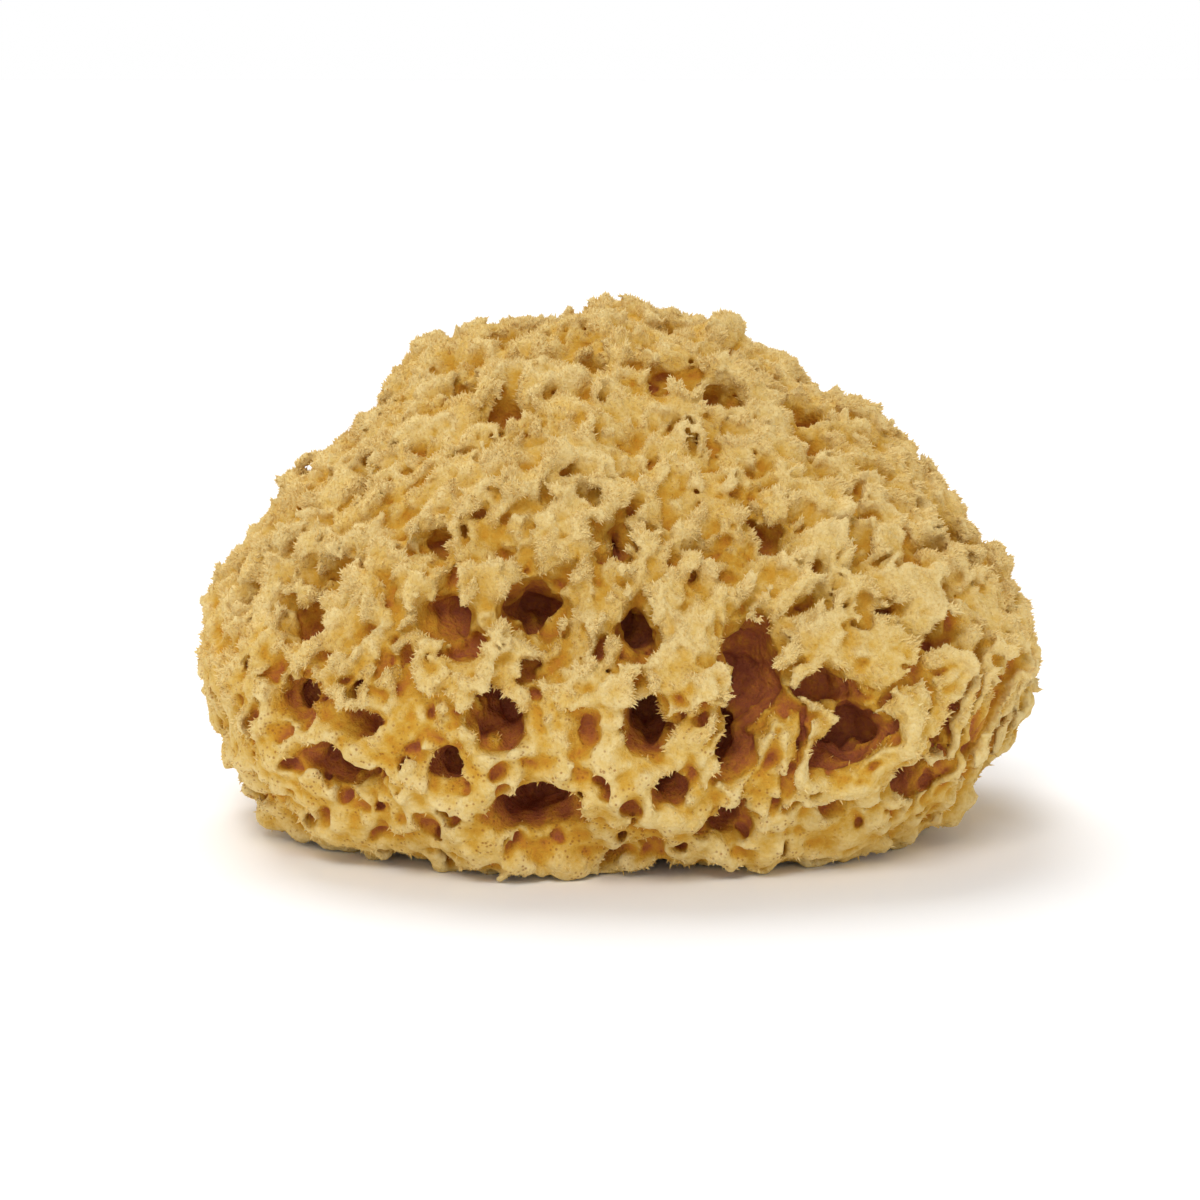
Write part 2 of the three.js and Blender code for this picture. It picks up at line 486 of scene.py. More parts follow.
@dataclass
class SpongeBody:
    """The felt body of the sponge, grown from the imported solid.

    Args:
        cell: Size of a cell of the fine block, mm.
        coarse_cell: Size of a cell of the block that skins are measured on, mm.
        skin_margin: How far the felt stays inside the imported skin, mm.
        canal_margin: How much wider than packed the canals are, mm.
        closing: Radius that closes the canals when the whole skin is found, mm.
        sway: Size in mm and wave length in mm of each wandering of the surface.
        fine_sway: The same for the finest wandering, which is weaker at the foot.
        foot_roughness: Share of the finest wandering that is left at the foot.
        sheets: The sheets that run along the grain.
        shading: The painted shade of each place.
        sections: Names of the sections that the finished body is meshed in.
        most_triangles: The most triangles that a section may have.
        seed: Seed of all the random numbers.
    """

    cell: float = 0.5
    coarse_cell: float = 1.0
    skin_margin: float = 0.6
    canal_margin: float = 0.8
    closing: float = 7.0
    sway: Sequence[tuple[float, float]] = ((1.1, 9.0), (0.8, 4.0))
    fine_sway: tuple[float, float] = (0.42, 1.9)
    foot_roughness: float = 0.3
    sheets: Sheets = Sheets()
    shading: Shading = Shading()
    sections: Sequence[str] = ("left", "middle", "right")
    most_triangles: int = 194_000
    seed: int = 11
    fine: Block = field(init=False)
    coarse: Block = field(init=False)
    points: Array = field(init=False)
    triangles: Array = field(init=False)
    packed: Array = field(init=False)
    depth: Array = field(init=False)
    swayed: list[Array] = field(init=False)
    distance: Array = field(init=False)

    def measure(self, node: bpy.types.Object) -> None:
        """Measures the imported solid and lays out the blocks.

        Args:
            node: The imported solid.
        """
        mesh = node.data
        points = read_vectors(mesh) / MM
        mesh.calc_loop_triangles()
        triangles = np.empty(len(mesh.loop_triangles) * 3, np.int32)
        mesh.loop_triangles.foreach_get("vertices", triangles)
        triangles = triangles.reshape(-1, 3)
        low, high = points.min(0), points.max(0)
        self.coarse = Block.around(low, high, self.closing + COARSE_MARGIN, self.coarse_cell)
        self.fine = Block.around(low, high, FINE_MARGIN, self.cell)
        self.packed = signed_distance(self.coarse, points, triangles, *PACKED_BAND)
        outer = surface_at(self.coarse, self.packed, self.closing)
        reach = signed_distance(self.coarse, *outer, *SKIN_BAND) + self.closing
        self.depth = -self.coarse.blurred(reach, 1.0, 1)
        self.points, self.triangles = points, triangles

    def grow(self) -> None:
        """Lets the surface wander, then cuts the hollows and the flat foot."""
        chance = np.random.default_rng(self.seed)
        place = self.fine.coordinates()
        left = self.foot_roughness
        rough = left + (1 - left) * eased(place[2], *ROUGH_FROM_FOOT)
        self.swayed = []
        for axis in range(3):
            moved = place[axis] + sum(
                size * self.fine.waves(across, chance) for size, across in self.sway
            )
            size, across = self.fine_sway
            moved = moved + rough * size * self.fine.waves(across, chance)
            self.swayed.append(moved.astype(np.float32))
        smooth = self.coarse.blurred(self.packed, 1.0, 1)
        under = self.coarse.read(self.depth, *self.swayed)
        margin = self.canal_margin * eased(under, *WIDENED_UNDER) + self.skin_margin
        self.distance = self.coarse.read(smooth, *self.swayed) + margin
        shaped = 1 - INNER_SMOOTHNESS * eased(under, *SMOOTHED_UNDER)
        self.distance += self.sinking(chance) * shaped
        for hollows in (BAYS, BOWLS, HOLLOWS):
            self.cut_hollows(hollows, chance)
        np.maximum(self.distance, -place[2], out=self.distance)

    def sinking(self, chance: np.random.Generator) -> Array:
        """Says how far the skin sinks between tufts, plates and torn sheets.

        Args:
            chance: Where the random numbers come from.

        Returns:
            How far it sinks at each cell, mm.
        """
        x, _, z = self.fine.coordinates()
        torn = eased(x, *TORN_FROM_LEFT) * eased(z, *TORN_FROM_FOOT)
        torn = torn * (1 - eased(z, *TORN_TO_TOP))
        tufted = eased(z, *TUFTED_FROM_FOOT) * (1 - torn)
        sunk = np.zeros(self.fine.shape, np.float32)
        for furrows in (CLUMPS, KNOBS):
            waves = self.fine.waves(furrows.across, chance)
            deep = furrows.plated + furrows.tufted * tufted
            sunk += deep * eased(waves, *furrows.troughs)
        sheets, grain = self.sheets, np.array(self.sheets.grain)
        along = sum(moved * share for moved, share in zip(self.swayed, grain))
        squeezed = [
            moved - (1 - 1 / sheets.length) * share * along
            for moved, share in zip(self.swayed, grain)
        ]
        waves = self.fine.read(self.fine.waves(sheets.across, chance), *squeezed)
        flamed = eased(z, *FLAMED_FROM_FOOT) * (1 - eased(z, *FLAMED_TO_TOP))
        deep = np.maximum(sheets.torn * torn, sheets.flamed * flamed)
        sunk += deep * eased(waves, *sheets.troughs)
        burrs = BURRS.plated + BURRS.tufted * tufted
        return sunk - burrs * self.fine.waves(BURRS.across, chance)

    def spots(self, chance: np.random.Generator, count: int) -> tuple[Array, Array]:
        """Scatters spots evenly over the whole skin, the canals closed.

        Args:
            chance: Where the random numbers come from.
            count: How many spots to try.

        Returns:
            The spots, mm, and the way out of the skin at each.
        """
        a, b, c = (self.points[self.triangles[:, n]] for n in range(3))
        area = np.linalg.norm(np.cross(b - a, c - a), axis=1)
        face = chance.choice(len(area), count, p=area / area.sum())
        u, v = chance.random((2, count, 1))
        folded = u + v > 1
        u, v = np.where(folded, 1 - u, u), np.where(folded, 1 - v, v)
        at = a[face] + (b - a)[face] * u + (c - a)[face] * v
        under = self.coarse.read(self.depth, *at.T)
        at = at[under < SKIN_UNDER]
        slopes = self.coarse.slopes(-self.depth)
        out = unit(np.stack([self.coarse.read(s, *at.T) for s in slopes], 1))
        under = self.coarse.read(self.depth, *at.T)
        return at + out * under[:, None], out

    def growth_at(self, at: Array, chance: np.random.Generator) -> Array:
        """Says which kind of growth each spot has.

        Args:
            at: The spots, mm.
            chance: Where the random numbers come from.

        Returns:
            The kinds, by their number in Growth.
        """
        tufted, plated, torn = range(len(Growth))
        x, y, z = at.T
        stray = chance.normal(0, BORDER_STRAY, len(at))
        kinds = np.where(z + stray > TUFTED_ABOVE, tufted, plated)
        x = x + stray
        flank = (x > FLANK_LEFT) & (z > FLANK_FOOT) & (z + 0.3 * stray < FLANK_TOP)
        back = (y > BACK_FRONT) & (x < BACK_RIGHT) & (z > BACK_FOOT) & (z < BACK_TOP)
        return np.where(flank | back, torn, kinds)

    def grain_at(self, at: Array, out: Array) -> Array:
        """Gives the way that the growth leans at each spot, along the skin.

        Args:
            at: The spots, mm.
            out: The way out of the skin at each.

        Returns:
            Vectors of length 1.
        """
        x, y, z = at.T
        # Slow waves along and up the sponge turn the lean this way and that
        turn = 0.7 * np.sin(x / 17 + 1.3) + 0.6 * np.sin(z / 13 + y / 19)
        rightwards = np.cos(turn) * (0.35 + eased(x, 0, 40))
        upwards = 0.7 + 0.4 * np.sin(turn)
        lean = np.stack([rightwards, 0.3 * np.sin(turn * 2), upwards * np.ones(len(at))], 1)
        lean -= out * (lean * out).sum(1, keepdims=True)
        return unit(lean)

    def cut_hollows(
        self, hollows: dict[Growth, Hollows], chance: np.random.Generator
    ) -> None:
        """Cuts one set of hollows over the whole skin.

        Args:
            hollows: The sizes in each kind of growth.
            chance: Where the random numbers come from.
        """
        at, out = self.spots(chance, SPOTS_TRIED)
        kinds = self.growth_at(at, chance)
        sizes = [hollows[growth] for growth in Growth]
        apart = np.array([s.apart for s in sizes])[kinds]
        grain = self.grain_at(at, out)
        taken = self.thinned(at, apart)
        for n in taken:
            size = sizes[kinds[n]]
            radius = chance.uniform(*size.radius)
            tilt = math.radians(size.tilt * chance.uniform(*TILT_SHARE))
            inwards = -out[n] * math.cos(tilt) - grain[n] * math.sin(tilt)
            inwards = unit(inwards + chance.normal(0, AIM_STRAY, 3))
            self.cut(
                at[n] + out[n] * MOUTH_LIFT * radius,
                inwards,
                grain[n],
                radius,
                chance.uniform(*size.deep) + MOUTH_LIFT * radius,
                chance.uniform(*size.stretch),
            )
        log.info("cut %d hollows", len(taken))

    @staticmethod
    def thinned(at: Array, apart: Array) -> list[int]:
        """Picks spots that keep their distance.

        Args:
            at: The spots, mm.
            apart: Least distance round each, mm.

        Returns:
            The numbers of the picked spots.
        """
        free = np.ones(len(at), bool)
        picked = []
        order = np.argsort(at[:, 0])
        at, apart = at[order], apart[order]
        starts = np.searchsorted(at[:, 0], at[:, 0] - apart)
        ends = np.searchsorted(at[:, 0], at[:, 0] + apart)
        shuffled = np.random.default_rng(0).permutation(len(at))
        for n in shuffled:
            if not free[n]:
                continue
            picked.append(int(order[n]))
            near = slice(starts[n], ends[n])
            gap = ((at[near] - at[n]) ** 2).sum(1)
            free[near] &= gap > apart[n] ** 2
        return picked

    def cut(
        self,
        at: Array,
        inwards: Array,
        grain: Array,
        radius: float,
        length: float,
        stretch: float,
    ) -> None:
        """Cuts one hollow with a rounded end, narrowing as it goes in.

        Args:
            at: Middle of its mouth, mm.
            inwards: The way it runs.
            grain: The way its mouth is drawn out.
            radius: Radius of its mouth, mm.
            length: How far it runs, mm.
            stretch: How much longer than wide its mouth is.
        """
        drawn = math.sqrt(stretch)
        reach = radius * drawn + CUT_MARGIN
        ends = np.stack([at, at + inwards * length])
        block = self.fine
        first = np.floor((ends.min(0) - reach - block.low) / block.cell).astype(int)
        last = np.ceil((ends.max(0) + reach - block.low) / block.cell).astype(int) + 1
        first, last = np.maximum(first, 0), np.minimum(last, block.shape)
        if (last <= first).any():
            return
        window = tuple(slice(a, b) for a, b in zip(first, last))
        x, y, z = (moved[window] - middle for moved, middle in zip(self.swayed, at))
        side = unit(np.cross(inwards, grain))
        long_way = np.cross(side, inwards)
        along = x * inwards[0] + y * inwards[1] + z * inwards[2]
        wide = (x * side[0] + y * side[1] + z * side[2]) * drawn
        tall = (x * long_way[0] + y * long_way[1] + z * long_way[2]) / drawn
        held = np.clip(along, 0, length)
        girth = radius * (1 - TAPER * held / length)
        off = np.sqrt(wide**2 + tall**2 + (along - held) ** 2) - girth
        part = self.distance[window]
        np.maximum(part, -off, out=part)

    def mesh(self) -> bpy.types.Mesh:
        """Meshes the body: its one largest lump, thinned to its triangle limit.

        Returns:
            The mesh, in metres, with the attributes that dress it.
        """
        points, faces = surface_at(self.fine, self.distance, 0.0)
        label = joined_up(faces, len(points))
        lump = np.bincount(label).argmax()
        faces = faces[label[faces[:, 0]] == lump]
        log.info("the block gives %d triangles", len(faces))
        mesh = triangle_mesh("felt", points * MM, faces)
        mesh = thinned_mesh(mesh, self.most_triangles * len(self.sections))
        self.mark(mesh)
        return mesh

    def mark(self, mesh: bpy.types.Mesh) -> None:
        """Stores on the mesh what the finish and the fibres read.

        shade is painted shade, 0 to 1: darker deep in, where closed in and towards
        the foot, and deep in partly the felt's own darker colour; tone is a slow
        wandering of the colour; rim is 1 on free edges and tips; plate is 1 on the
        smooth plates; nap is 1 where the felt is fluffy; comb is the way fibres stand.

        Args:
            mesh: The body's mesh, in metres.
        """
        points = read_vectors(mesh) / MM
        solid = np.clip(0.5 - self.distance / self.cell, 0, 1).astype(np.float32)
        crowd = self.fine.blurred(solid, 1.0, 2)
        filled = self.fine.read(crowd, *points.T)
        away = [-self.fine.read(slope, *points.T) for slope in self.fine.slopes(crowd)]
        outwards = unit(np.stack(away, 1))
        under = self.coarse.read(self.depth, *points.T) - self.skin_margin
        x, _, z = points.T
        chance = np.random.default_rng(self.seed + 1)
        tone = self.fine.read(self.fine.waves(7.0, chance), *points.T)
        dome = eased(z, *PALE_FROM_FOOT)
        # Painted shade: darker deep in, where closed in and at the foot
        store(mesh, "shade", self.shading.of(under, filled, dome, tone))
        store(mesh, "tone", 0.5 + 0.3 * np.tanh(tone))
        rim = eased(filled, *FREE_EDGE) * eased(under, *FRAYED_UNDER)
        rim *= eased(z, *FRAY_OFF_FLOOR) * (0.15 + 0.85 * eased(z, *FRAYED_FROM_FOOT))
        patches = self.fine.read(self.fine.waves(5.0, chance), *points.T)
        store(mesh, "rim", rim * eased(patches, -0.3, 0.5))
        store(mesh, "plate", 1 - np.maximum(dome, eased(x, *PLATED_TO_RIGHT)))
        nap = (0.06 + 0.94 * dome) * eased(filled, *FLUFFED) * eased(under, *NAP_UNDER)
        store(mesh, "nap", nap * eased(z, *NAP_OFF_FLOOR))
        grain = self.grain_at(points, outwards)
        comb = unit(outwards + 0.5 * grain * (0.3 + eased(x, 10, 40))[:, None])
        store(mesh, "comb", comb)

    def build(self, node: bpy.types.Object, finish: FeltFinish) -> list[bpy.types.Object]:
        """Makes the finished body, in sections that share the edges where they meet.

        Args:
            node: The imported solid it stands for.
            finish: What it is dressed in.

        Returns:
            The finished sections.
        """
        self.measure(node)
        self.grow()
        whole = self.mesh()
        faces = read_faces(whole)
        middles = read_vectors(whole)[:, 0][faces].mean(1)
        shares = np.arange(1, len(self.sections)) / len(self.sections)
        section = np.searchsorted(np.quantile(middles, shares), middles)
        material = finish.material()
        pieces = []
        for number, name in enumerate(self.sections):
            mesh = part_of(whole, faces[section == number], f"felt_{name}")
            mesh.materials.append(material)
            write_colour_map(mesh, "shade", "tone")
            pieces.append(as_piece(f"sponge_{name}", mesh))
        bpy.data.meshes.remove(whole)
        return pieces


# ---- meshes ----


def read_vectors(mesh: bpy.types.Mesh) -> Array:
    """Reads the places of a mesh's vertices."""
    places = np.empty(len(mesh.vertices) * 3, np.float32)
    mesh.vertices.foreach_get("co", places)
    return places.reshape(-1, 3)


def read_faces(mesh: bpy.types.Mesh) -> Array:
    """Reads the vertex numbers of a mesh's triangles."""
    corners = np.empty(len(mesh.loops), np.int32)
    mesh.loops.foreach_get("vertex_index", corners)
    return corners.reshape(-1, 3)


def triangle_mesh(name: str, points: Array, faces: Array) -> bpy.types.Mesh:
    """Makes a smooth mesh of the vertices that its triangles use.

    Args:
        name: The mesh's name.
        points: Vertices, some of them perhaps unused, in metres.
        faces: Triangles.

    Returns:
        The mesh.
    """
    used, renumbered = np.unique(faces, return_inverse=True)
    mesh = bpy.data.meshes.new(name)
    mesh.vertices.add(len(used))
    mesh.vertices.foreach_set("co", points[used].astype(np.float32).ravel())
    mesh.loops.add(faces.size)
    mesh.loops.foreach_set("vertex_index", renumbered.astype(np.int32).ravel())
    mesh.polygons.add(len(faces))
    mesh.polygons.foreach_set("loop_start", np.arange(0, faces.size, 3, dtype=np.int32))
    mesh.update(calc_edges=True)
    mesh.shade_smooth()
    return mesh


def part_of(whole: bpy.types.Mesh, faces: Array, name: str) -> bpy.types.Mesh:
    """Makes a mesh of some of a mesh's triangles, shaded as they are in the whole.

    Args:
        whole: The whole mesh.
        faces: The triangles to keep.
        name: The new mesh's name.

    Returns:
        The mesh, with the whole mesh's attributes.
    """
    mesh = triangle_mesh(name, read_vectors(whole), faces)
    used = np.unique(faces)
    for attribute in whole.attributes:
        kept = attribute.domain == "POINT" and attribute.name != "position"
        if kept and attribute.data_type in STORED:
            store(mesh, attribute.name, stored(whole, attribute.name)[used])
    normals = np.empty(len(whole.vertices) * 3, np.float32)
    whole.vertex_normals.foreach_get("vector", normals)
    mesh.normals_split_custom_set_from_vertices(normals.reshape(-1, 3)[used])
    return mesh


def store(mesh: bpy.types.Mesh, name: str, values: Array) -> None:
    """Stores one number or one vector a vertex under a name."""
    kind = "FLOAT" if values.ndim == 1 else "FLOAT_VECTOR"
    attribute = mesh.attributes.new(name, kind, "POINT")
    attribute.data.foreach_set(STORED[kind][0], values.astype(np.float32).ravel())


def stored(mesh: bpy.types.Mesh, name: str) -> Array:
    """Reads the number or the vector a vertex that is stored under a name."""
    attribute = mesh.attributes[name]
    key, wide = STORED[attribute.data_type]
    values = np.empty(len(attribute.data) * wide, np.float32)
    attribute.data.foreach_get(key, values)
    return values.reshape(-1, wide) if wide > 1 else values


def write_colour_map(mesh: bpy.types.Mesh, across: str, up: str) -> None:
    """Lays the faces out on a UV map by the two values that their colour follows.

    Args:
        mesh: The mesh.
        across: Name of the value laid along U.
        up: Name of the value laid along V.
    """
    vertex = np.empty(len(mesh.loops), np.int32)
    mesh.loops.foreach_get("vertex_index", vertex)
    places = np.stack([stored(mesh, name)[vertex] for name in (across, up)], 1)
    layer = mesh.uv_layers.new(name=COLOUR_MAP, do_init=False)
    layer.uv.foreach_set("vector", (0.01 + 0.98 * places).astype(np.float32).ravel())


def placed(name: str, data: bpy.types.ID) -> bpy.types.Object:
    """Adds an object to the scene."""
    made = bpy.data.objects.new(name, data)
    bpy.context.scene.collection.objects.link(made)
    return made


def evaluated_mesh(piece: bpy.types.Object) -> bpy.types.Mesh:
    """Makes a plain mesh of an object with its modifiers applied."""
    graph = bpy.context.evaluated_depsgraph_get()
    return bpy.data.meshes.new_from_object(
        piece.evaluated_get(graph), preserve_all_data_layers=True, depsgraph=graph
    )


def thinned_mesh(mesh: bpy.types.Mesh, most: int) -> bpy.types.Mesh:
    """Thins a mesh by joining its least needed edges.

    Args:
        mesh: The mesh, which is removed.
        most: The most triangles to leave.

    Returns:
        The thinned mesh.
    """
    holder = placed("thinning", mesh)
    decimate = holder.modifiers.new("thin", "DECIMATE")
    decimate.ratio = min(1.0, most / len(mesh.polygons))
    decimate.use_collapse_triangulate = True
    thinned = evaluated_mesh(holder)
    bpy.data.objects.remove(holder)
    bpy.data.meshes.remove(mesh)
    return thinned


def as_piece(name: str, mesh: bpy.types.Mesh) -> bpy.types.Object:
    """Makes a finished piece that rides on the sponge's body.

    Args:
        name: The piece's name.
        mesh: Its mesh, in place, in metres.

    Returns:
        The piece.
    """
    piece = placed(name, mesh)
    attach(piece, BODY)
    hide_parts(NODE)
    log.info("%s: %d faces", name, len(mesh.polygons))
    return piece


# ---- node trees ----


class Nodes:
    """Adds nodes to one tree.

    Args:
        tree: The tree to add to.
    """

    def __init__(self, tree: bpy.types.NodeTree) -> None:
        """Takes the tree and empties it."""
        self.tree = tree
        tree.nodes.clear()

    def add(
        self,
        kind: str,
        settings: dict[str, Any] | None = None,
        inputs: dict[str | int, Any] | None = None,
    ) -> bpy.types.Node:
        """Adds one node.

        Args:
            kind: The node's type.
            settings: Its settings, set before its inputs.
            inputs: Values, sockets or expressions for its inputs, by name or place.

        Returns:
            The node.
        """
        node = self.tree.nodes.new(kind)
        for name, value in (settings or {}).items():
            setattr(node, name, value)
        for name, value in (inputs or {}).items():
            self.feed(node.inputs[name], value)
        return node

    def feed(self, socket: bpy.types.NodeSocket, value: Any) -> None:
        """Links or sets one input."""
        if isinstance(value, Shade):
            value = value.socket
        if isinstance(value, bpy.types.NodeSocket):
            self.tree.links.new(value, socket)
        else:
            socket.default_value = value

    def maths(self, operation: str, *values: Any) -> Shade:
        """Adds a Math node and returns its result."""
        node = self.add("ShaderNodeMath", {"operation": operation}, dict(enumerate(values)))
        return Shade(self, node.outputs[0])

    def attribute(self, name: str) -> Shade:
        """Reads a number stored on the mesh."""
        node = self.add("ShaderNodeAttribute", {"attribute_name": name})
        return Shade(self, node.outputs["Fac"])

    def coloured(
        self, shade: Shade, stops: Stops, cover: Shade, colour: Colour
    ) -> bpy.types.NodeSocket:
        """Colours by shade, with one more colour laid over.

        Args:
            shade: The shade.
            stops: Colour at each shade.
            cover: How much of the colour laid over shows.
            colour: That colour.

        Returns:
            The colour.
        """
        ramp = self.add("ShaderNodeValToRGB", inputs={"Fac": shade})
        elements = ramp.color_ramp.elements
        while len(elements) < len(stops):
            elements.new(1.0)
        for element, (place, tint) in zip(elements, stops):
            element.position = place
            element.color = (*tint, 1.0)
        mixed = self.add(
            "ShaderNodeMix",
            {"data_type": "RGBA", "blend_type": "MIX"},
            {"Factor": cover, "A": ramp.outputs["Color"], "B": (*colour, 1.0)},
        )
        return mixed.outputs["Result"]


@dataclass(frozen=True)
class Shade:
    """A number in a node tree that can be used in Python sums.

    Args:
        nodes: Where its nodes are added.
        socket: The output that gives it.
    """

    nodes: Nodes
    socket: bpy.types.NodeSocket

    def __add__(self, other: Any) -> Shade:
        """Adds."""
        return self.nodes.maths("ADD", self, other)

    def __sub__(self, other: Any) -> Shade:
        """Subtracts."""
        return self.nodes.maths("SUBTRACT", self, other)

    def __rsub__(self, other: Any) -> Shade:
        """Subtracts, the other way round."""
        return self.nodes.maths("SUBTRACT", other, self)

    def __mul__(self, other: Any) -> Shade:
        """Multiplies."""
        return self.nodes.maths("MULTIPLY", self, other)

    def between(self, low: float, high: float) -> Shade:
        """Rises smoothly from 0 at `low` to 1 at `high`."""
        node = self.nodes.add(
            "ShaderNodeMapRange",
            {"interpolation_type": "SMOOTHSTEP"},
            {"Value": self, "From Min": low, "From Max": high},
        )
        return Shade(self.nodes, node.outputs[0])


# ---- finishes ----

# Colours of the painted shade: cream open felt, ochre hollows, red-brown canals; deep in,
# partly the felt's own darker colour
FELT_STOPS: Stops = (
    (0.0, from_screen(229, 204, 142)),
    (0.18, from_screen(219, 185, 106)),
    (0.38, from_screen(207, 161, 62)),
    (0.56, from_screen(199, 144, 42)),
    (0.72, from_screen(190, 126, 42)),
    (0.86, from_screen(176, 104, 50)),
    (1.0, from_screen(160, 88, 58)),
)
WHITE: Colour = (1.0, 1.0, 1.0)


@dataclass(frozen=True)
class Finish:
    """A plain matt finish, which the others build on.

    Args:
        name: The material's name.
    """

    name: str

    def surface(self, nodes: Nodes) -> dict[str, Any]:
        """Gives what feeds the surface."""
        return {"Base Color": (*WHITE, 1.0), "Roughness": 0.9}

    def material(self) -> bpy.types.Material:
        """Makes the material."""
        made = bpy.data.materials.new(self.name)
        made.use_nodes = True
        nodes = Nodes(made.node_tree)
        surface = nodes.add("ShaderNodeBsdfPrincipled", inputs=self.surface(nodes))
        nodes.add("ShaderNodeOutputMaterial", inputs={"Surface": surface.outputs[0]})
        return made


@dataclass(frozen=True)
class FeltFinish(Finish):
    """The dry felt of the body: cream tips, with ochre hollows and dark brown canals
    in painted shade, deep in partly the felt's own darker colour.

    Args:
        stops: Colour at each step of painted shade, from the palest tip to the deepest canal.
        fine: Waves a metre of the fine grain.
        broad: Waves a metre of the broad grain.
        patches: Waves a metre of the patches where pores open.
        pores: Pin-prick pores a metre.
        pore_edge: Where a pore's floor ends and its rim begins, as shares of its cell.
        pore: Painted shade inside the pores.
        roughness: Least and most roughness.
        relief: Height of the grain, in metres.
    """

    stops: Stops = FELT_STOPS
    fine: float = 1500.0
    broad: float = 420.0
    patches: float = 200.0
    pores: float = 1100.0
    pore_edge: tuple[float, float] = (0.12, 0.34)
    # Painted shade inside the pin-prick pores
    pore: Colour = from_screen(150, 90, 34)
    roughness: tuple[float, float] = (0.82, 0.96)
    relief: float = 0.0008

    def grain(self, nodes: Nodes, scale: float, detail: float) -> Shade:
        """Adds a mottle, 0 to 1, of so many waves a metre."""
        place = nodes.add("ShaderNodeTexCoord").outputs["Object"]
        node = nodes.add(
            "ShaderNodeTexNoise",
            inputs={"Vector": place, "Scale": scale, "Detail": detail, "Roughness": 0.6},
        )
        return Shade(nodes, node.outputs["Fac"])

    def pricks(self, nodes: Nodes) -> Shade:
        """Adds the pores, 1 inside them, where their holes get painted shade: most on plates,
        few elsewhere.
        """
        place = nodes.add("ShaderNodeTexCoord").outputs["Object"]
        cells = nodes.add(
            "ShaderNodeTexVoronoi",
            {"feature": "F1"},
            {"Vector": place, "Scale": self.pores, "Randomness": 1.0},
        )
        inside = 1 - Shade(nodes, cells.outputs["Distance"]).between(*self.pore_edge)
        open_patches = self.grain(nodes, self.patches, 1.0).between(0.38, 0.54)
        return inside * open_patches * (nodes.attribute("plate") * 0.8 + 0.2)

    def surface(self, nodes: Nodes) -> dict[str, Any]:
        """Gives what feeds the surface."""
        fine = self.grain(nodes, self.fine, 3.0)
        broad = self.grain(nodes, self.broad, 2.0)
        pricks = self.pricks(nodes)
        mottle = (fine - 0.5) * 0.42 + (broad - 0.5) * 0.22
        warmth = (nodes.attribute("tone") - 0.5) * 0.12
        # Painted shade stored on the mesh, with the felt's own mottle and tone added
        shade = nodes.attribute("shade") + mottle + warmth
        bump = nodes.add(
            "ShaderNodeBump",
            inputs={
                "Height": fine * 0.8 + broad - pricks * 0.05,
                "Strength": 0.7,
                "Distance": self.relief,
            },
        )
        low, high = self.roughness
        return {
            # Painted shade of the pores laid over the felt's colour
            "Base Color": nodes.coloured(shade, self.stops, pricks * 0.7, self.pore),
            "Roughness": broad * (high - low) + low,
            "Normal": bump.outputs["Normal"],
            "Specular IOR Level": 0.2,
        }


@dataclass(frozen=True)
class FibreFinish(Finish):
    """Single fibres: the felt's colour with its painted shade at the root, paler at the tip.

    Args:
        stops: Colour at each shade.
        tip: Colour at the tips.
        paling: How far the tips turn to that colour.
    """

    stops: Stops = FELT_STOPS
    tip: Colour = from_screen(236, 212, 150)
    paling: float = 0.55

    def surface(self, nodes: Nodes) -> dict[str, Any]:
        """Gives what feeds the surface."""
        # shade is the painted shade carried over from the body
        shade, along = nodes.attribute("shade"), nodes.attribute("along")
        paled = along.between(0.0, 1.0) * self.paling
        return {
            "Base Color": nodes.coloured(shade, self.stops, paled, self.tip),
            "Roughness": 0.98 - along * 0.12,
            "Specular IOR Level": 0.25,
        }


# ---- fibres ----


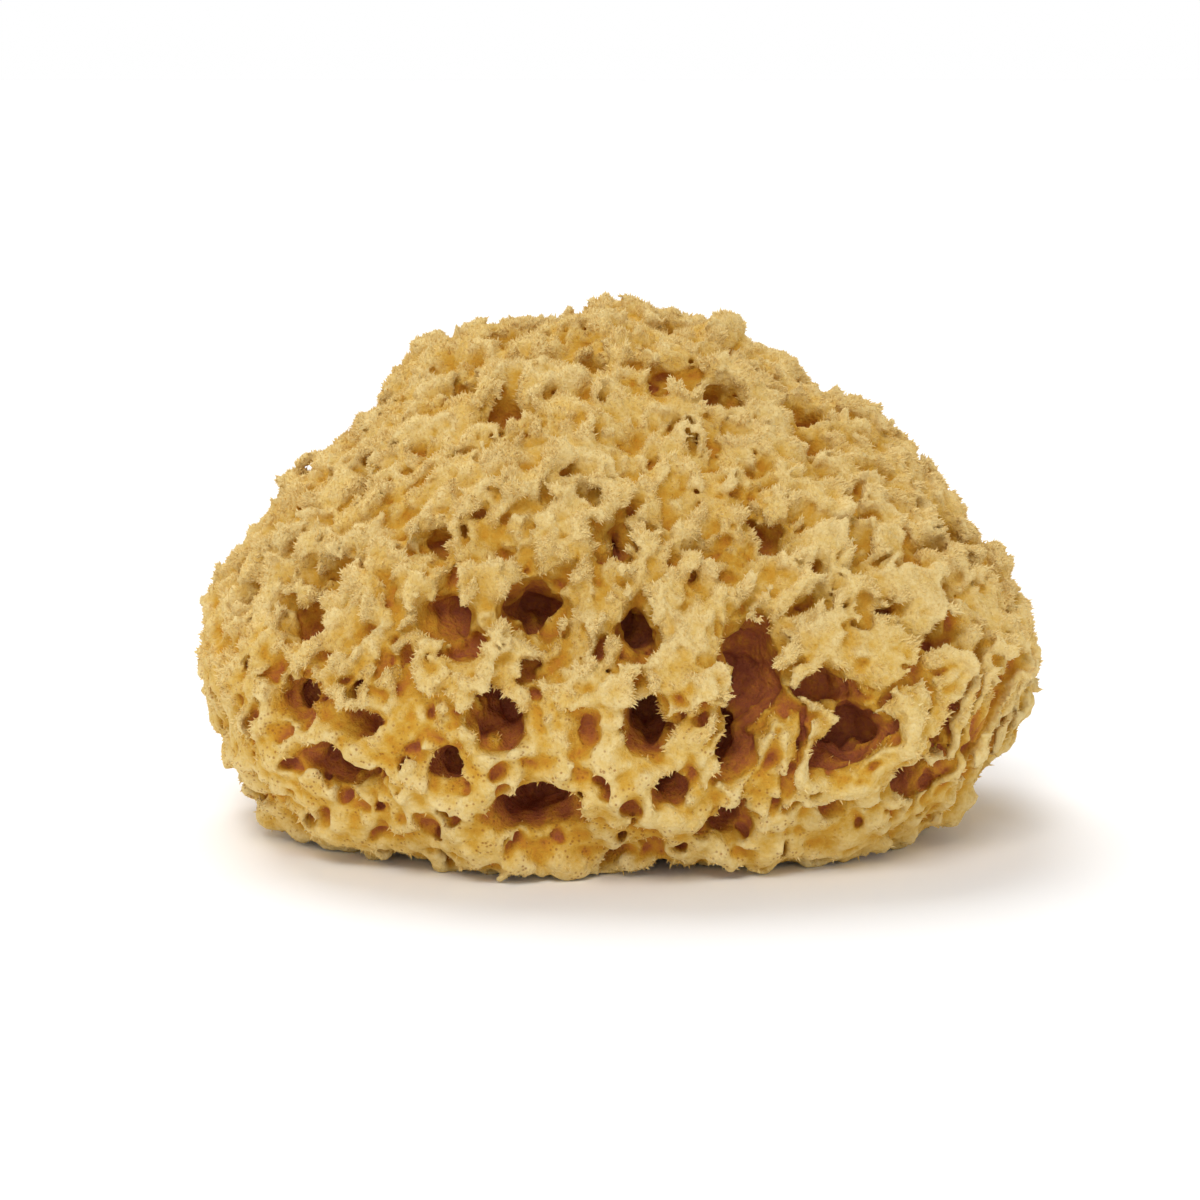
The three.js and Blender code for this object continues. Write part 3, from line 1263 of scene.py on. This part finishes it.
class FibreNodes(Nodes):
    """Adds the nodes that set fibres out on a body."""

    def stored(self, name: str, kind: str = "FLOAT") -> Shade:
        """Reads what is stored on the body under a name."""
        node = self.add("GeometryNodeInputNamedAttribute", {"data_type": kind}, {"Name": name})
        return Shade(self, node.outputs["Attribute"])

    def random(self, low: Any, high: Any, seed: bpy.types.NodeSocket) -> bpy.types.NodeSocket:
        """Adds a random number for each fibre."""
        node = self.add(
            "FunctionNodeRandomValue", {"data_type": "FLOAT"}, {2: low, 3: high, "Seed": seed}
        )
        return node.outputs[1]

    def fibre(self, bends: int, bow: bpy.types.NodeSocket) -> bpy.types.NodeSocket:
        """Adds one fibre, 1 long and 1 wide, that bows to one side.

        Args:
            bends: Stretches from root to tip.
            bow: How far its tip bows.

        Returns:
            The fibre's geometry.
        """
        spike = self.add(
            "GeometryNodeMeshCone",
            inputs={
                "Vertices": 3,
                "Side Segments": bends,
                "Fill Segments": 1,
                "Radius Top": 0.0,
                "Radius Bottom": 0.5,
                "Depth": 1.0,
            },
        )
        place = self.add("GeometryNodeInputPosition").outputs[0]
        height = Shade(self, self.add("ShaderNodeSeparateXYZ", inputs={0: place}).outputs["Z"])
        offset = self.add("ShaderNodeCombineXYZ", inputs={"X": height * height * bow})
        bowed = self.add(
            "GeometryNodeSetPosition",
            inputs={"Geometry": spike.outputs["Mesh"], "Offset": offset.outputs[0]},
        )
        marked = self.add(
            "GeometryNodeStoreNamedAttribute",
            {"data_type": "FLOAT", "domain": "POINT"},
            {"Geometry": bowed.outputs[0], "Name": "along", "Value": height},
        )
        return marked.outputs[0]

    def stance(
        self, spread: bpy.types.NodeSocket, seed: bpy.types.NodeSocket
    ) -> bpy.types.NodeSocket:
        """Adds the turning of each fibre: combed, strayed and spun.

        Args:
            spread: How far fibres stray.
            seed: Seed of the straying.

        Returns:
            The rotation.
        """
        stray = self.add(
            "FunctionNodeRandomValue",
            {"data_type": "FLOAT_VECTOR"},
            {0: (-1.0, -1.0, -1.0), 1: (1.0, 1.0, 1.0), "Seed": seed},
        )
        wide = self.add("ShaderNodeCombineXYZ", inputs={"X": spread, "Y": spread, "Z": spread})
        strayed = self.add(
            "ShaderNodeVectorMath",
            {"operation": "MULTIPLY_ADD"},
            {0: stray.outputs[0], 1: wide.outputs[0], 2: self.stored("comb", "FLOAT_VECTOR")},
        )
        combed = self.add(
            "FunctionNodeAlignRotationToVector", {"axis": "Z"}, {"Vector": strayed.outputs[0]}
        )
        spin = self.add(
            "FunctionNodeAxisAngleToRotation",
            inputs={"Axis": (0.0, 0.0, 1.0), "Angle": self.random(0.0, 2 * math.pi, seed)},
        )
        spun = self.add(
            "FunctionNodeRotateRotation",
            {"rotation_space": "LOCAL"},
            {"Rotation": combed.outputs[0], "Rotate By": spin.outputs[0]},
        )
        return spun.outputs[0]


@dataclass
class FibreCoat:
    """A coat of short tapering fibres standing on the body.

    Args:
        name: Start of the names of its pieces.
        mask: The value on the body that says where fibres stand.
        count: How many there are.
        bends: Stretches from root to tip of each fibre.
        length: Shortest and longest fibre, mm.
        width: Thickness at the root, mm.
        spread: How far fibres stray from the way they are combed.
        bow: How far a tip bows sideways, as a share of the length.
        variety: How far a fibre's shade strays from the felt's.
    """

    name: str
    mask: str
    count: int
    bends: int
    length: tuple[float, float]
    width: float
    spread: float
    bow: float
    variety: float = 0.05

    def tree(self) -> bpy.types.GeometryNodeTree:
        """Builds the tree that sets the fibres out, with a named input for each size."""
        tree = bpy.data.node_groups.new(self.name, "GeometryNodeTree")
        for name, kind in (
            ("Geometry", "Geometry"),
            *((size, "Float") for size in ("Density", "Shortest", "Longest")),
            *((size, "Float") for size in ("Width", "Spread", "Bow")),
            ("Seed", "Int"),
            ("Finish", "Material"),
        ):
            tree.interface.new_socket(name, in_out="INPUT", socket_type="NodeSocket" + kind)
        tree.interface.new_socket(
            "Geometry", in_out="OUTPUT", socket_type="NodeSocketGeometry"
        )
        nodes = FibreNodes(tree)
        given = nodes.add("NodeGroupInput").outputs
        seed, width = given["Seed"], given["Width"]
        scattered = nodes.add(
            "GeometryNodeDistributePointsOnFaces",
            {"distribute_method": "RANDOM"},
            {
                "Mesh": given["Geometry"],
                "Density": nodes.stored(self.mask) * given["Density"],
                "Seed": seed,
            },
        )
        length = nodes.random(given["Shortest"], given["Longest"], seed)
        size = nodes.add("ShaderNodeCombineXYZ", inputs={"X": width, "Y": width, "Z": length})
        stood = nodes.add(
            "GeometryNodeInstanceOnPoints",
            inputs={
                "Points": scattered.outputs["Points"],
                "Instance": nodes.fibre(self.bends, given["Bow"]),
                "Rotation": nodes.stance(given["Spread"], seed),
                "Scale": size.outputs[0],
            },
        )
        realized = nodes.add(
            "GeometryNodeRealizeInstances", inputs={"Geometry": stood.outputs[0]}
        )
        dressed = nodes.add(
            "GeometryNodeSetMaterial",
            inputs={"Geometry": realized.outputs[0], "Material": given["Finish"]},
        )
        nodes.add("NodeGroupOutput", inputs={"Geometry": dressed.outputs[0]})
        return tree

    def density(self, body: bpy.types.Mesh) -> float:
        """Works out how dense the fibres must be to come to their count."""
        area = np.empty(len(body.polygons), np.float32)
        body.polygons.foreach_get("area", area)
        held = stored(body, self.mask)[read_faces(body)].mean(1)
        return self.count / float((held * area).sum())

    def build(
        self, body: bpy.types.Object, finish: FibreFinish, seed: int
    ) -> bpy.types.Object:
        """Makes the coat of one section.

        Args:
            body: The section of the body that the fibres stand on.
            finish: What they are dressed in.
            seed: Seed of the scatter.

        Returns:
            The finished piece.
        """
        holder = placed(self.name + "_holder", body.data)
        coat = holder.modifiers.new("coat", "NODES")
        coat.node_group = self.tree()
        values = {
            "Density": self.density(body.data),
            "Shortest": self.length[0] * MM,
            "Longest": self.length[1] * MM,
            "Width": self.width * MM,
            "Spread": self.spread,
            "Bow": self.bow,
            "Seed": seed,
            "Finish": finish.material(),
        }
        for item in coat.node_group.interface.items_tree:
            if item.name in values:
                coat[item.identifier] = values[item.name]
        mesh = evaluated_mesh(holder)
        bpy.data.objects.remove(holder)
        self.vary(mesh, np.random.default_rng(seed))
        write_colour_map(mesh, "shade", "along")
        mesh.name = body.name.replace("sponge", self.name)
        return as_piece(mesh.name, mesh)

    def vary(self, mesh: bpy.types.Mesh, chance: np.random.Generator) -> None:
        """Gives each fibre a shade a little off the felt's."""
        corners = 3 * self.bends + 1
        shade = stored(mesh, "shade")
        own = chance.normal(0, self.variety, len(shade) // corners + 1)
        varied = np.clip(shade + np.repeat(own, corners)[: len(shade)], 0, 1)
        mesh.attributes["shade"].data.foreach_set("value", varied.astype(np.float32))


# ---- studio ----


@dataclass(frozen=True)
class Sun:
    """One soft light that falls evenly over the whole floor.

    Args:
        name: Its name.
        turn: Which side it comes from: 0 is the front, 90 the right, degrees.
        rise: How high it stands, degrees.
        spread: How wide it looks, which softens its shadows, degrees.
        power: What it brings to a level floor.
    """

    name: str
    turn: float
    rise: float
    spread: float
    power: float

    def build(self) -> None:
        """Adds the light."""
        data = bpy.data.lights.new(self.name, "SUN")
        data.angle = math.radians(self.spread)
        turned, risen = math.radians(self.turn), math.radians(self.rise)
        data.energy = self.power * math.pi / math.sin(risen)
        holder = placed(self.name, data)
        level = math.cos(risen)
        place = (math.sin(turned) * level, -math.cos(turned) * level, math.sin(risen))
        holder.location = place
        holder.rotation_euler = Vector(place).to_track_quat("Z", "Y").to_euler()


@dataclass
class Studio:
    """The pale floor, the soft lights and the camera.

    Args:
        aim: What the camera looks at, mm.
        away: How far off the camera stands, mm.
        down: How far it looks down, degrees.
        lens: Its lens, mm.
        overhead: Strength of the light from overhead, against 1 at the horizon.
        horizon: Heights between which it falls to that, as shares of straight up.
        floor_half: Half the width of the floor, in metres.
        suns: The lights.
    """

    aim: tuple[float, float, float] = (-3.1, 6.6, 35.4)
    away: float = 557.0
    down: float = 10.0
    lens: float = 100.0
    overhead: float = 0.36
    horizon: tuple[float, float] = (0.25, 0.6)
    floor_half: float = 6.0
    suns: Sequence[Sun] = (
        Sun("key", turn=-12, rise=50, spread=25, power=0.30),
        Sun("back", turn=-150, rise=62, spread=40, power=0.42),
    )

    def camera(self) -> None:
        """Adds the camera, a little above the sponge's middle, looking down at it."""
        data = bpy.data.cameras.new("camera")
        data.lens = self.lens
        data.clip_start = 0.01
        holder = placed("camera", data)
        down = math.radians(self.down)
        back = Vector((0.0, -math.cos(down), math.sin(down)))
        holder.location = Vector(self.aim) * MM + back * self.away * MM
        holder.rotation_euler = (-back).to_track_quat("-Z", "Y").to_euler()
        bpy.context.scene.camera = holder

    def floor(self) -> None:
        """Adds the pale floor, far wider than the view."""
        half = self.floor_half
        mesh = bpy.data.meshes.new("floor")
        corners = [(-half, -half, 0), (half, -half, 0), (half, half, 0), (-half, half, 0)]
        mesh.from_pydata(corners, [], [(0, 1, 2, 3)])
        mesh.materials.append(Finish("floor paper").material())
        floor = placed("floor", mesh)

    def world(self) -> None:
        """Lights the scene from all round: white at the horizon, dimmer overhead."""
        world = bpy.data.worlds.new("studio")
        world.use_nodes = True
        bpy.context.scene.world = world
        nodes = Nodes(world.node_tree)
        towards = nodes.add("ShaderNodeTexCoord").outputs["Generated"]
        split = nodes.add("ShaderNodeSeparateXYZ", inputs={0: towards})
        above = Shade(nodes, split.outputs["Z"]).between(*self.horizon)
        light = nodes.add(
            "ShaderNodeBackground",
            inputs={
                "Color": (*WHITE, 1.0),
                "Strength": 1.0 - above * (1.0 - self.overhead),
            },
        )
        nodes.add("ShaderNodeOutputWorld", inputs={"Surface": light.outputs[0]})

    def build(self) -> None:
        """Sets the studio up."""
        self.camera()
        self.floor()
        self.world()
        for sun in self.suns:
            sun.build()
        bpy.context.scene.view_settings.view_transform = "Standard"


def main() -> None:
    """Builds the studio, the sponge's body and its coats of fibres."""
    logging.basicConfig(level=logging.INFO, format="%(asctime)s %(name)s: %(message)s")
    Studio().build()
    sections = SpongeBody().build(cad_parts[NODE], FeltFinish("sponge felt"))
    fibre = FibreFinish("sponge fibre")
    fray = FibreCoat(
        "fray", "rim", count=10_000, bends=2, length=(0.3, 1.0), width=0.42, spread=0.5, bow=0.3
    )
    nap = FibreCoat(
        "nap", "nap", count=46_000, bends=1, length=(0.25, 0.6), width=0.16, spread=0.9, bow=0.0
    )
    for number, section in enumerate(sections):
        fray.build(section, fibre, 2 * number)
        nap.build(section, fibre, 2 * number + 1)


if __name__ == "__main__":
    main()
